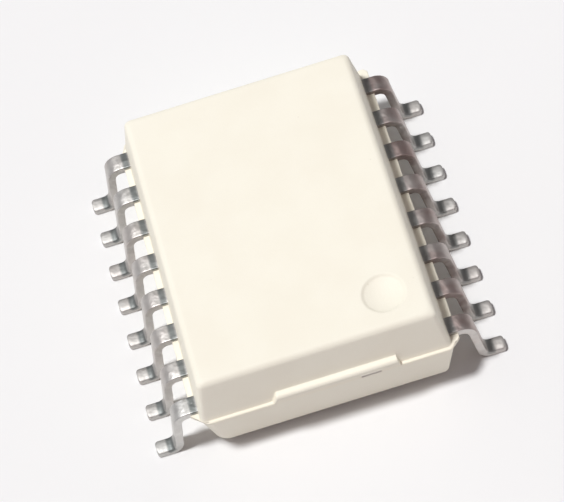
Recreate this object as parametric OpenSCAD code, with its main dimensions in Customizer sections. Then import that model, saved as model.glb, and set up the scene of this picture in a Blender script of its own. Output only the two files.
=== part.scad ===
// Optocoupler in a wide small-outline package with sixteen gull-wing leads.
// X runs across the two lead rows, Y along the body, Z up from the board. Sizes in millimetres.

/* [Moulded body] */
// Length of the body, from end wall to end wall at the parting line
body_l = 10.312; // [10:0.001:12]
// Width of the upper half at the parting line
body_w = 7.493; // [7.1:0.001:8.5]
// Height of the moulded body
body_h = 3.302; // [3:0.001:4]
// Gap between the board and the underside of the body
standoff = 0.203; // [0.1:0.001:0.4]
// Height of the parting line above the underside
parting_h = 1.707; // [1.4:0.001:1.9]
// Draft of the mould walls in degrees
draft = 9; // [3:0.5:12]
// Ledge of the lower half past the upper half, at the ends
end_ledge = 0.104; // [0.05:0.001:0.2]
// Ledge of the lower half past the upper half, on the lead sides
side_ledge = 0.045; // [0.02:0.001:0.1]
// Radius of the upright corners
corner_r = 0.16; // [0.08:0.01:0.3]
// Radius of the edges round the top
top_edge_r = 0.21; // [0.1:0.01:0.3]
// Radius of the edges round the underside
bottom_edge_r = 0.2; // [0.1:0.01:0.3]

/* [Details of the body] */
// Reach of the flash between the leads, past the upper half
flash_w = 0.254; // [0.15:0.001:0.3]
// Thickness of the flash below the parting line
flash_t = 0.127; // [0.06:0.001:0.127]
// Cut across the corners of the flash
flash_corner = 0.32; // [0.1:0.01:0.4]
// Width of the raised stretch of the parting line on each end
step_w = 3.65; // [2:0.05:4.5]
// Height of the raised stretch above the parting line
step_h = 0.36; // [0.2:0.01:0.5]
// Sideways slope of each end of the raised stretch
step_run = 0.09; // [0.02:0.01:0.2]
// Middle of the raised stretch, off the centre line
step_x = 0.28; // [-0.5:0.01:0.5]
// Diameter of the pin 1 dimple
dimple_d = 1.27; // [0.8:0.01:1.6]
// Depth of the pin 1 dimple
dimple_depth = 0.12; // [0.08:0.01:0.2]
// Depth of the sloping wall round the dimple, above its dished floor
dimple_wall = 0.07; // [0.02:0.01:0.07]
// Distance of the dimple from the pin 1 side wall, at the parting line
dimple_side = 1.456; // [1.2:0.001:2]
// Distance of the dimple from the pin 1 end wall, at the parting line
dimple_end = 1.486; // [1.2:0.001:2]
// Width of the gate scar on the front end
scar_w = 0.6; // [0.3:0.01:1]
// Height of the gate scar
scar_h = 0.09; // [0.05:0.01:0.2]
// Depth of the gate scar
scar_depth = 0.07; // [0.02:0.01:0.1]
// Middle of the gate scar, off the centre line
scar_x = 1.3; // [-1.5:0.01:1.5]

/* [Leads] */
// Distance from lead to lead in a row
pitch = 1.27; // [1.2:0.01:1.3]
// Width of a lead at its leg and foot
lead_w = 0.457; // [0.36:0.001:0.5]
// Width of a lead at its shoulder
shoulder_w = 0.56; // [0.5:0.01:0.7]
// Thickness of the lead frame
lead_t = 0.254; // [0.2:0.001:0.3]
// Level run of a shoulder past the flash, before it bends down
shoulder_reach = 0.07; // [0.02:0.01:0.3]
// Length of the flat foot, from the heel bend to the tip
foot_l = 0.387; // [0.3:0.001:0.9]
// Radius of the bend at the shoulder, at the middle of the metal
shoulder_bend_r = 0.347; // [0.25:0.001:0.4]
// Radius of the bend at the heel, at the middle of the metal
heel_bend_r = 0.339; // [0.25:0.001:0.4]
// Outward lean of the legs in degrees
leg_lean = 7.8; // [0:0.1:10]
// Thinning of the leg by the forming tool
leg_thinning = 0.004; // [0.002:0.001:0.02]
// Rounding of the tip corners
tip_r = 0.09; // [0.03:0.01:0.15]

/* [Inside] */
// Clear width between the input and output halves of the lead frame
isolation_gap = 0.9; // [0.6:0.05:1.2]
// Width of a chip paddle, across the body
paddle_w = 1.8; // [1.6:0.05:1.9]
// Length of a chip paddle, along the body
paddle_l = 4.6; // [4.2:0.05:4.8]
// Width of an emitter pad, across the body
pad_w = 1.1; // [0.8:0.05:1.3]
// Length of an emitter pad, along the body
pad_l = 1.3; // [0.8:0.05:1.4]
// Gap between a paddle or pad and the ends of the inner fingers
finger_gap = 0.35; // [0.25:0.01:0.45]
// Width of a chip, across the body
chip_w = 1.4; // [1.2:0.05:1.6]
// Length of a chip, along the body
chip_l = 3.7; // [3.4:0.05:3.9]
// Thickness of a chip
chip_t = 0.25; // [0.15:0.01:0.35]
// Side of an emitter die
emitter_w = 0.36; // [0.25:0.01:0.5]
// Thickness of an emitter die
emitter_t = 0.2; // [0.15:0.01:0.3]
// Radius of a clear light guide over an emitter and its detector
guide_r = 0.6; // [0.5:0.01:0.7]
// Diameter of a bond wire
wire_d = 0.05; // [0.03:0.005:0.06]
// Radius of the turns at the ends of a bond wire
wire_bend_r = 0.12; // [0.08:0.01:0.15]
// Inset of a bond from the edge of its chip or finger
bond_inset = 0.15; // [0.1:0.01:0.2]

/* [Hidden] */
$fn = 48;
LEADS_PER_SIDE = 8;
INPUT_PADDLE_SLOT = LEADS_PER_SIDE / 2;
OUTPUT_PADDLE_SLOT = LEADS_PER_SIDE / 4;
EMITTER_SLOT = LEADS_PER_SIDE;
ROUND_CREASE = 5;

// Levels and outlines of the body
parting_z = standoff + parting_h;
upper_h = body_h - parting_h;
upper_l = body_l - 2 * end_ledge;
lower_w = body_w + 2 * side_ledge;
flash_half = body_w / 2 + flash_w;

// Levels and places of the leads
frame_top = parting_z + lead_t / 2;
frame_bottom = parting_z - lead_t / 2;
bend_x = flash_half + shoulder_reach;
leg_top = [bend_x + shoulder_bend_r * cos(leg_lean), parting_z - shoulder_bend_r * (1 - sin(leg_lean))];
leg_bottom_z = lead_t / 2 + heel_bend_r * (1 - sin(leg_lean));
leg_bottom = [leg_top.x + (leg_top.y - leg_bottom_z) * tan(leg_lean), leg_bottom_z];
foot_x = leg_bottom.x + heel_bend_r * cos(leg_lean);
leg_t = lead_t - leg_thinning;
leg_root = leg_thinning * 5;

// Places inside, for the input half; the output half is the same, turned half round
inner_x = isolation_gap / 2;
paddle_x = inner_x + paddle_w;
paddle_y = slot_y(5) + shoulder_w / 2 - paddle_l;
chip_x = inner_x + (paddle_w - chip_w) / 2;
chip_y = paddle_y + (paddle_l - chip_l) / 2;
chip_top = frame_top + chip_t;
pad_x = inner_x + pad_w;
pad_y = slot_y(6) + shoulder_w / 2 + bond_inset;
emitter_x = inner_x + pad_w / 2;
emitter_y = pad_y + pad_l / 2;
emitter_top = frame_top + emitter_t;
wire_rise = wire_bend_r + wire_d;

// Middle of a lead along the body, for slots 1 to 8 of a row
function slot_y(slot) = (slot - (LEADS_PER_SIDE + 1) / 2) * pitch;

// Inner end of a finger, for a slot that carries neither paddle nor pad
function finger_end(slot) =
    slot == 1 ? chip_x + bond_inset :
    slot < 6 ? paddle_x + finger_gap :
    pad_x + finger_gap;

// Where the bond wire of a slot lands on its chip or emitter
function bond_start(slot) =
    slot == 1 ? [chip_x + chip_w / 2, chip_y + bond_inset] :
    slot < 6 ? [chip_x + chip_w - bond_inset, chip_y + (slot - 1) * chip_l / 6] :
    slot == 6 ? [chip_x + chip_w - bond_inset, chip_y + chip_l - bond_inset] :
    [emitter_x, emitter_y];

// Where the bond wire of a slot lands on its finger
function bond_end(slot) =
    slot == 1 ? [chip_x + chip_w / 2, slot_y(1)] :
    [finger_end(slot) + bond_inset, slot_y(slot)];

// Cutter that rounds a corner at the origin, whose middle line points along +X.
// Its round meets the walls with a faint crease, because a cut that only touches a face can fail.
module round_cutter(half_angle, r) {
    wall_gap = r * cos(ROUND_CREASE);
    centre_x = -wall_gap / sin(half_angle);
    size = 4 * r;
    difference() {
        translate([centre_x + wall_gap * sin(half_angle), -size / 2]) square(size);
        translate([centre_x, 0]) circle(r);
    }
}

// Section across a drafted block, with a rounded rim at both sides of its top
module drafted_section(width, height, rim_r) {
    top_half = width / 2 - height * tan(draft);
    turn = (90 + draft) / 2;
    difference() {
        polygon([[-width / 2, 0], [width / 2, 0], [top_half, height], [-top_half, height]]);
        translate([top_half, height]) rotate(turn) round_cutter(turn, rim_r);
        translate([-top_half, height]) rotate(180 - turn) round_cutter(turn, rim_r);
    }
}

// Cutter for an upright corner at the origin, along the slanting line where two walls meet
module corner_cutter(height) {
    lean = atan(sqrt(2) * tan(draft));
    half_angle = 90 - acos(pow(sin(draft), 2)) / 2;
    rotate([0, -lean, 0]) translate([0, 0, -height / 2])
        linear_extrude(2 * height) round_cutter(half_angle, corner_r);
}

// Drafted block on the parting line, with rounded upright corners and a rounded rim
module drafted_block(width, length, height, rim_r) {
    difference() {
        intersection() {
            translate([0, length, 0]) rotate([90, 0, 0])
                linear_extrude(2 * length) drafted_section(width, height, rim_r);
            translate([-width, 0, 0]) rotate([90, 0, 90])
                linear_extrude(2 * width) drafted_section(length, height, rim_r);
        }
        for (side_x = [-1, 1], side_y = [-1, 1])
            translate([side_x * width / 2, side_y * length / 2, 0])
                rotate(atan2(side_y, side_x)) corner_cutter(height);
    }
}

// Slab across the body whose two ends follow the drafted end walls of the lower half
module end_draft_slab(width, low, high) {
    y_low = body_l / 2 + low * tan(draft);
    y_high = body_l / 2 + high * tan(draft);
    translate([-width / 2, 0, 0]) rotate([90, 0, 90]) linear_extrude(width)
        polygon([[-y_low, low], [y_low, low], [y_high, high], [-y_high, high]]);
}

// Thin flash that stands out between the leads, with its corners cut
module flash() {
    x = flash_half;
    y = body_l / 2;
    c = flash_corner;
    intersection() {
        translate([0, 0, -flash_t]) linear_extrude(flash_t)
            polygon([
                [x, c - y], [x, y - c], [x - c, y], [c - x, y],
                [-x, y - c], [-x, c - y], [c - x, -y], [x - c, -y]
            ]);
        end_draft_slab(2 * flash_half, -flash_t, 0);
    }
}

// Stretch of each end wall where the lower half reaches up past the parting line
module end_steps() {
    intersection() {
        translate([step_x, body_l, 0]) rotate([90, 0, 0]) linear_extrude(2 * body_l)
            polygon([
                [-step_w / 2 - step_run, 0], [step_w / 2 + step_run, 0],
                [step_w / 2, step_h], [-step_w / 2, step_h]
            ]);
        end_draft_slab(body_w, 0, step_h);
    }
}

// Shallow round dimple that marks pin 1, with a sloping wall and a dished floor
module pin_one_dimple() {
    rim_r = dimple_d / 2;
    floor_r = rim_r - dimple_wall;
    dish = dimple_depth - dimple_wall;
    dish_r = (pow(floor_r, 2) + pow(dish, 2)) / (2 * dish);
    translate([body_w / 2 - dimple_side, dimple_end - body_l / 2, upper_h]) intersection() {
        translate([0, 0, -2 * dimple_depth])
            cylinder(h = 3 * dimple_depth, r1 = rim_r - 2 * dimple_depth, r2 = rim_r + dimple_depth);
        translate([0, 0, dish_r - dimple_depth]) sphere(dish_r);
    }
}

// Thin scar where the gate was broken off the front end
module gate_scar() {
    translate([scar_x - scar_w / 2, -body_l / 2 - scar_depth, -scar_h / 2])
        cube([scar_w, 2 * scar_depth, scar_h]);
}

// Outer form of the moulding, before the pieces that it holds are taken out
module moulding() {
    translate([0, 0, parting_z]) difference() {
        union() {
            drafted_block(body_w, upper_l, upper_h, top_edge_r);
            mirror([0, 0, 1]) drafted_block(lower_w, body_l, parting_h, bottom_edge_r);
            flash();
            end_steps();
        }
        pin_one_dimple();
        gate_scar();
    }
}

// Flat strip of lead frame from x0 to x1, in the plane of the frame
module strip(x0, x1, y, width) {
    translate([x0, y - width / 2, frame_bottom]) cube([x1 - x0, width, lead_t]);
}

// Bend of a lead about an axis along the body, from one angle up from +X through a turn
module bend(centre, radius, start, turn, width) {
    translate([centre.x, width / 2, centre.y]) rotate([90, 0, 0]) rotate(start)
        rotate_extrude(angle = turn) translate([radius - lead_t / 2, 0]) square([lead_t, width]);
}

// Gull-wing part of a lead outside its shoulder: bend, leg, heel and foot
module gull_wing(y) {
    translate([0, y, 0]) {
        bend([bend_x, parting_z - shoulder_bend_r], shoulder_bend_r, leg_lean, 90 - leg_lean, shoulder_w);
        leg(norm(leg_top - leg_bottom));
        bend([foot_x, lead_t / 2 + heel_bend_r], heel_bend_r, 180 + leg_lean, 90 - leg_lean, lead_w);
        foot(foot_l);
    }
}

// Leg, a little thinner than the bends that it runs into
module leg(length) {
    translate([leg_top.x, -lead_w / 2, leg_top.y]) rotate([0, -leg_lean, 0])
        translate([-leg_t / 2, 0, -length - leg_root]) cube([leg_t, lead_w, length + 2 * leg_root]);
}

// Solder foot with rounded tip corners
module foot(length) {
    translate([foot_x, 0, 0]) linear_extrude(lead_t) {
        translate([0, -lead_w / 2]) square([length - tip_r, lead_w]);
        translate([0, tip_r - lead_w / 2]) square([length, lead_w - 2 * tip_r]);
        for (side = [-1, 1]) translate([length - tip_r, side * (lead_w / 2 - tip_r)]) circle(tip_r);
    }
}

// Paddle that carries a chip, joined to the finger of its slot
module chip_paddle(slot) {
    translate([inner_x, paddle_y, frame_bottom]) cube([paddle_w, paddle_l, lead_t]);
    strip(inner_x, bend_x, slot_y(slot), shoulder_w);
}

// Pad that carries an emitter, joined by an arm to the last finger of its row
module emitter_pad() {
    last_y = slot_y(EMITTER_SLOT);
    arm_x = pad_x - shoulder_w;
    translate([inner_x, pad_y, frame_bottom]) cube([pad_w, pad_l, lead_t]);
    translate([arm_x, pad_y, frame_bottom]) cube([shoulder_w, last_y - pad_y, lead_t]);
    strip(arm_x, bend_x, last_y, shoulder_w);
}

// One stamped lead of the input row; the output row is the same, turned half round
module lead(slot, paddle_slot) {
    gull_wing(slot_y(slot));
    if (slot == paddle_slot) chip_paddle(slot);
    else if (slot == EMITTER_SLOT) emitter_pad();
    else strip(finger_end(slot), bend_x, slot_y(slot), shoulder_w);
}

module input_lead(slot) {
    lead(slot, INPUT_PADDLE_SLOT);
}

module output_lead(slot) {
    rotate(180) lead(slot, OUTPUT_PADDLE_SLOT);
}

module chip() {
    translate([chip_x, chip_y, frame_top]) cube([chip_w, chip_l, chip_t]);
}

module emitter() {
    translate([emitter_x - emitter_w / 2, emitter_y - emitter_w / 2, frame_top])
        cube([emitter_w, emitter_w, emitter_t]);
}

// Clear half capsule from an emitter over the gap to the chip on the other side
module light_guide_form() {
    far = 2 * guide_r;
    translate([0, emitter_y, frame_top]) {
        translate([-emitter_x, 0, 0]) rotate([90, 0, 90]) linear_extrude(2 * emitter_x) intersection() {
            circle(guide_r);
            translate([-far, 0]) square([2 * far, far]);
        }
        for (turn = [0, 180]) rotate(turn) translate([emitter_x, 0, 0]) rotate(-90)
            rotate_extrude(angle = 180) intersection() {
                circle(guide_r);
                square(far);
            }
    }
}

// Fine wire that rises from a die, runs level and drops on to a finger
module bond_wire(start, end, start_z) {
    run = round(norm(end - start) * 1000) / 1000;
    level = start_z + wire_rise;
    r = wire_bend_r;
    translate([start.x, start.y, 0]) rotate(atan2(end.y - start.y, end.x - start.x)) {
        translate([0, 0, start_z]) cylinder(d = wire_d, h = level - r - start_z);
        translate([r, 0, level - r]) rotate([90, 0, 0]) rotate(90)
            rotate_extrude(angle = 90) translate([r, 0]) circle(d = wire_d);
        translate([r, 0, level]) rotate([0, 90, 0]) cylinder(d = wire_d, h = run - 2 * r);
        translate([run - r, 0, level - r]) rotate([90, 0, 0])
            rotate_extrude(angle = 90) translate([r, 0]) circle(d = wire_d);
        translate([run, 0, frame_top]) cylinder(d = wire_d, h = level - r - frame_top);
    }
}

// All the wires of one row: chip to fingers, and emitter to the finger beside it
module bond_wires(paddle_slot) {
    for (slot = [1 : EMITTER_SLOT - 1]) if (slot != paddle_slot)
        bond_wire(bond_start(slot), bond_end(slot), slot == EMITTER_SLOT - 1 ? emitter_top : chip_top);
}

module input_wires() {
    bond_wires(INPUT_PADDLE_SLOT);
}

module output_wires() {
    rotate(180) bond_wires(OUTPUT_PADDLE_SLOT);
}

// Everything that the moulding is shaped round
module held_pieces() {
    for (slot = [1 : LEADS_PER_SIDE]) {
        input_lead(slot);
        output_lead(slot);
    }
    for (turn = [0, 180]) rotate(turn) {
        chip();
        emitter();
        light_guide_form();
    }
    input_wires();
    output_wires();
}

module body() {
    color("#f5efe2") difference() {
        moulding();
        held_pieces();
    }
}

module tinned_input_lead(slot) {
    color("#b9b7b3") input_lead(slot);
}

module tinned_output_lead(slot) {
    color("#b9b7b3") output_lead(slot);
}

module input_chip() {
    color("#5b5f6b") chip();
}

module output_chip() {
    color("#5b5f6b") rotate(180) chip();
}

module forward_emitter() {
    color("#8d3b2e") emitter();
}

module feedback_emitter() {
    color("#8d3b2e") rotate(180) emitter();
}

// A light guide is moulded round the dice and wires that it covers
module light_guide(turn) {
    difference() {
        rotate(turn) light_guide_form();
        rotate(turn) emitter();
        rotate(turn + 180) chip();
        input_wires();
        output_wires();
    }
}

module forward_light_guide() {
    color("#dfe9ee") light_guide(0);
}

module feedback_light_guide() {
    color("#dfe9ee") light_guide(180);
}

module input_bond_wires() {
    color("#d8ab4e") input_wires();
}

module output_bond_wires() {
    color("#d8ab4e") output_wires();
}

body();
for (slot = [1 : LEADS_PER_SIDE]) {
    tinned_input_lead(slot);
    tinned_output_lead(slot);
}
input_chip();
output_chip();
forward_emitter();
feedback_emitter();
forward_light_guide();
feedback_light_guide();
input_bond_wires();
output_bond_wires();
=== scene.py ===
"""Looks of a wide small-outline optocoupler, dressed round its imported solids.

Sizes in the classes of the pieces are in millimetres, as in the part's source. Lengths in the finishes are
in metres, and so are the meshes.
"""

import logging
import math
from dataclasses import dataclass, field
from enum import Enum
from functools import reduce
from typing import NamedTuple, Sequence

import bmesh
import bpy
from mathutils import Matrix, Vector, noise


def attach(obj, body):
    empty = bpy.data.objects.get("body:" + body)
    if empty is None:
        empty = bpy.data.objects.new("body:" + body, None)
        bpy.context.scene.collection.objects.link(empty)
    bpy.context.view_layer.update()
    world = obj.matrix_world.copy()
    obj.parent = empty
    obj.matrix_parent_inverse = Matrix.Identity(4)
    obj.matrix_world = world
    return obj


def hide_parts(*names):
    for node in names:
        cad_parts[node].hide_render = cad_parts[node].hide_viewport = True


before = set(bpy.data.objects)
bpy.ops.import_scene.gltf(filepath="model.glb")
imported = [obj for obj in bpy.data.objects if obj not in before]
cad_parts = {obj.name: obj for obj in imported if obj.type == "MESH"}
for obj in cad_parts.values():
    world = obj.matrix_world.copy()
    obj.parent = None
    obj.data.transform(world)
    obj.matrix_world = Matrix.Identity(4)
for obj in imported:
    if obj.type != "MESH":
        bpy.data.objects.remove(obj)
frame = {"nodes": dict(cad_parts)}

MM = 0.001
BODY_NAME = "root"
LOG = logging.getLogger("optocoupler")
LEADS_PER_ROW = 8
QUARTER = math.pi / 2
TURNED = 0.29  # How far the middle of a round lies from both its faces, as a share of its radius
GRAIN_SPAN = (0.3, 0.7)  # Range of a grain that its finish uses
Point = tuple[float, float, float]
Colour = tuple[float, float, float]
Span = tuple[float, float]
Socket = bpy.types.NodeSocket
Sockets = bpy.types.bpy_prop_collection


def mix(low: float, high: float, share: float) -> float:
    """Value between two values, low at share 0 and high at share 1."""
    return low + (high - low) * share


def smooth(share: float) -> float:
    """Eases a share from 0 to 1, flat at both ends."""
    share = min(1.0, max(0.0, share))
    return share * share * (3.0 - 2.0 * share)


def spread(low: float, high: float, steps: int) -> list[float]:
    """Even values from low to high, both included."""
    return [mix(low, high, i / steps) for i in range(steps + 1)]


class Row(Enum):
    """The two rows of leads, with the turn about Z that brings the input row there."""

    INPUT = 0.0
    OUTPUT = math.pi

    @property
    def nodes(self) -> list[str]:
        """Names of the part's nodes in this row, in the order of their pins."""
        first = 1 if self is Row.INPUT else LEADS_PER_ROW + 1
        return [f"lead_{pin:02d}" for pin in range(first, first + LEADS_PER_ROW)]

    @property
    def paddle_slot(self) -> int:
        """Slot of the lead that carries the chip paddle, before the row is turned."""
        return 4 if self is Row.INPUT else 2

    @property
    def seed(self) -> int:
        """Seed of the tints of the row's leads."""
        return 3 if self is Row.INPUT else 11


class Place(Enum):
    """Where on the outline of the body a point lies."""

    END = "end"
    SIDE = "side"
    CORNER = "corner"


class NodeKit:
    """Adds and joins the nodes of one tree."""

    def __init__(self, tree: bpy.types.NodeTree) -> None:
        """Starts with an empty tree of a material, a world or a group."""
        self.tree = tree
        self.tree.nodes.clear()

    def add(self, kind: str, values: dict[str | int, object] | None = None,
            **settings: object) -> bpy.types.Node:
        """Makes a node.

        Args:
            kind: Blender's type name of the node.
            values: What its inputs take, by their name or number.
            **settings: Properties to set on it.

        Returns:
            The new node.
        """
        node = self.tree.nodes.new(kind)
        for name, value in settings.items():
            setattr(node, name, value)
        for key, value in (values or {}).items():
            self.feed(node.inputs[key], value)
        return node

    def feed(self, target: Socket, value: object) -> None:
        """Links a socket to an input, or sets a plain value on it.

        Args:
            target: The input.
            value: Socket, number, vector, colour or text.
        """
        if isinstance(value, Socket):
            self.tree.links.new(value, target)
        else:
            target.default_value = (*value, 1.0) if target.type == "RGBA" else value

    def maths(self, operation: str, first: object, second: object = 0.0) -> Socket:
        """Result of a maths node for one or two sockets or numbers."""
        return self.add("ShaderNodeMath", {0: first, 1: second}, operation=operation).outputs[0]

    def product(self, *factors: object) -> Socket:
        """Product of sockets and numbers."""
        return reduce(lambda first, second: self.maths("MULTIPLY", first, second), factors)

    def distance(self, value: Socket, middle: float) -> Socket:
        """How far a value lies from a number, on either side."""
        return self.maths("ABSOLUTE", self.maths("SUBTRACT", value, middle))

    def ramp(self, value: Socket, low: float, high: float, to_low: float = 0.0,
             to_high: float = 1.0) -> Socket:
        """Maps the range from low to high smoothly on another, and holds its ends beyond."""
        values = {"Value": value, "From Min": low, "From Max": high, "To Min": to_low, "To Max": to_high}
        return self.add("ShaderNodeMapRange", values, interpolation_type="SMOOTHSTEP").outputs["Result"]

    def fade(self, value: Socket, full: float, gone: float, share: float = 1.0) -> Socket:
        """Share that is whole up to one value and gone from another on."""
        return self.ramp(value, full, gone, share, 0.0)

    def blend(self, share: Socket, first: object, second: object) -> Socket:
        """Mixes two colours, where a share of 0 gives the first."""
        values = {"Factor": share, 6: first, 7: second}
        return self.add("ShaderNodeMix", values, data_type="RGBA").outputs[2]

    def noise(self, vector: Socket, scale: object, detail: float = 2.0, roughness: float = 0.55) -> Socket:
        """Fractal noise from 0 to 1, for a scale in waves to a metre and a number of octaves."""
        values = {"Vector": vector, "Scale": scale, "Detail": detail, "Roughness": roughness}
        return self.add("ShaderNodeTexNoise", values).outputs["Fac"]

    def coordinates(self, kind: str = "Object") -> Socket:
        """Texture coordinates, by default the object's in metres."""
        return self.add("ShaderNodeTexCoord").outputs[kind]

    def split(self, vector: Socket) -> Sockets:
        """Sockets X, Y and Z of a vector."""
        return self.add("ShaderNodeSeparateXYZ", {0: vector}).outputs

    def attribute(self, name: str) -> Socket:
        """Number that the mesh stores under a name."""
        return self.add("ShaderNodeAttribute", attribute_name=name).outputs["Fac"]


class GroupKit(NodeKit):
    """Nodes of a new group, with what it is given and what it gives."""

    def __init__(self, name: str, kind: str, takes: dict[str, str], gives: dict[str, str]) -> None:
        """Makes the group with its sockets.

        Args:
            name: Name of the group.
            kind: Blender's type name of its tree.
            takes: Kinds of its inputs by name.
            gives: Kinds of its outputs by name.
        """
        super().__init__(bpy.data.node_groups.new(name, kind))
        for side, sockets in (("INPUT", takes), ("OUTPUT", gives)):
            for label, sort in sockets.items():
                self.tree.interface.new_socket(label, in_out=side, socket_type=f"NodeSocket{sort}")
        self.given = self.add("NodeGroupInput").outputs
        self.out = self.add("NodeGroupOutput").inputs


class EffectGroup(Enum):
    """Shader node groups that more than one finish uses."""

    GRAIN = "surface_grain"
    HANDLING = "handling_marks"

    def tree(self) -> bpy.types.NodeTree:
        """Tree of the group, which is built the first time."""
        build = self._grain if self is EffectGroup.GRAIN else self._handling
        return bpy.data.node_groups.get(self.value) or build()

    def _grain(self) -> bpy.types.NodeTree:
        """Builds two scales of grain: a height for bumps, and a tone that goes light and dark.

        Returns:
            The new tree.
        """
        fine_shares = {"Height": 0.75, "Tone": 0.4}
        takes = {"Place": "Vector", "Fine": "Float", "Coarse": "Float"}
        kit = GroupKit(self.value, "ShaderNodeTree", takes, dict.fromkeys(fine_shares, "Float"))
        fine = kit.noise(kit.given["Place"], kit.given["Fine"], detail=4.0, roughness=0.62)
        coarse = kit.noise(kit.given["Place"], kit.given["Coarse"], detail=3.0, roughness=0.5)
        for result, share in fine_shares.items():
            both = kit.maths("ADD", kit.product(fine, share), kit.product(coarse, 1.0 - share))
            kit.feed(kit.out[result], both)
        return kit.tree

    def _handling(self) -> bpy.types.NodeTree:
        """Builds a mask of sparse specks and short scuffs.

        Returns:
            The new tree.
        """
        soft_edge, patch_scale, patch_span = 0.05, 700.0, (0.52, 0.68)
        takes = {"Place": "Vector", "Scale": "Float", "Spread": "Float"}
        kit = GroupKit(self.value, "ShaderNodeTree", takes, {"Marks": "Float"})
        place = kit.given["Place"]
        cells = kit.add("ShaderNodeTexVoronoi", {"Vector": place, "Scale": kit.given["Scale"]}, feature="F1")
        near = kit.maths("SUBTRACT", kit.given["Spread"], cells.outputs["Distance"])
        where = kit.ramp(kit.noise(place, patch_scale), *patch_span)
        kit.feed(kit.out["Marks"], kit.product(kit.ramp(near, 0.0, soft_edge), where))
        return kit.tree


class SurfaceKit(NodeKit):
    """Nodes of a material round its shader."""

    def __init__(self, material: bpy.types.Material) -> None:
        """Joins a shader to the material's output.

        Args:
            material: A new material.
        """
        material.use_nodes = True
        super().__init__(material.node_tree)
        self.shader = self.add("ShaderNodeBsdfPrincipled")
        self.add("ShaderNodeOutputMaterial", {"Surface": self.shader.outputs["BSDF"]})

    def set(self, name: str, value: object) -> None:
        """Gives one of the shader's inputs a socket or a plain value."""
        self.feed(self.shader.inputs[name], value)

    def effect(self, group: EffectGroup, **values: object) -> Sockets:
        """Outputs of an effect group, whose inputs are given by name."""
        return self.add("ShaderNodeGroup", values, node_tree=group.tree()).outputs

    def grain(self, place: Socket, scales: Span) -> Sockets:
        """Height and Tone of a grain, for its fine and its coarse waves in a metre."""
        return self.effect(EffectGroup.GRAIN, Place=place, Fine=scales[0], Coarse=scales[1])

    def marks(self, place: Socket, scale: float, size: float) -> Socket:
        """Mask of handling marks, for their number in a metre and their share of that space."""
        return self.effect(EffectGroup.HANDLING, Place=place, Scale=scale, Spread=size)["Marks"]

    def bump(self, height: Socket, depth: float, strength: float) -> None:
        """Raises the surface by a height map, by a depth in metres and the share of it that shows."""
        values = {"Strength": strength, "Distance": depth, "Height": height}
        self.set("Normal", self.add("ShaderNodeBump", values).outputs["Normal"])


class Finish:
    """Base of the finishes: makes a material of its own once."""

    name: str

    def material(self) -> bpy.types.Material:
        """Finds the material, or builds it the first time.

        Returns:
            The material.
        """
        made = bpy.data.materials.get(self.name)
        if not made:
            made = bpy.data.materials.new(self.name)
            self.paint(SurfaceKit(made))
        return made

    def paint(self, kit: SurfaceKit) -> None:
        """Sets the shader's inputs. Each finish has its own."""
        raise NotImplementedError


@dataclass(frozen=True)
class MouldFinish(Finish):
    """Warm white filled epoxy, matte, with the mould's grain and faint flow mottling."""

    name: str = "cream_moulding_finish"
    colour: Colour = (0.905, 0.872, 0.757)
    shade: Colour = (0.886, 0.846, 0.727)
    resin: Colour = (0.890, 0.805, 0.640)
    speck: Colour = (0.560, 0.490, 0.400)
    # Painted shade in the shallow gate scar.
    scar: Colour = (0.690, 0.645, 0.600)
    grain_scales: Span = (26000.0, 650.0)
    tone_span: Span = (0.36, 0.64)
    parting_z: float = 0.00191
    band_span: Span = (0.00002, 0.00016)
    band_share: float = 0.45
    band_scale: float = 1800.0
    scar_x: float = 0.0013
    scar_x_span: Span = (0.00028, 0.00031)
    scar_y_span: Span = (-0.0050, -0.0048)
    scar_z_span: Span = (0.000025, 0.000125)
    scar_shade_share: float = 0.90
    speck_scale: float = 2100.0
    speck_size: float = 0.075
    speck_share: float = 0.22
    roughness: Span = (0.50, 0.66)
    specular: float = 0.35
    relief: float = 0.000012
    relief_share: float = 0.35

    def paint(self, kit: SurfaceKit) -> None:
        """Mottled cream, a resin-rich band at the parting line, painted shade in the scar, sparse specks and
        a fine grain.

        Args:
            kit: The material's nodes.
        """
        place = kit.coordinates()
        at = kit.split(place)
        grain = kit.grain(place, self.grain_scales)
        base = kit.blend(kit.ramp(grain["Tone"], *self.tone_span), self.shade, self.colour)
        off = kit.distance(at["Z"], self.parting_z)
        band = kit.product(kit.fade(off, *self.band_span, self.band_share), kit.noise(place, self.band_scale))
        base = kit.blend(band, base, self.resin)
        # Painted shade: darkens the shallow gate scar on the front end.
        scar = kit.product(kit.fade(kit.distance(at["X"], self.scar_x), *self.scar_x_span),
                           kit.fade(off, *self.scar_z_span, self.scar_shade_share),
                           kit.fade(at["Y"], *self.scar_y_span))
        base = kit.blend(scar, base, self.scar)
        specks = kit.product(kit.marks(place, self.speck_scale, self.speck_size), self.speck_share)
        kit.set("Base Color", kit.blend(specks, base, self.speck))
        kit.set("Roughness", kit.ramp(grain["Height"], *GRAIN_SPAN, *self.roughness))
        kit.set("Specular IOR Level", self.specular)
        kit.bump(grain["Height"], self.relief, self.relief_share)


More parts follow.
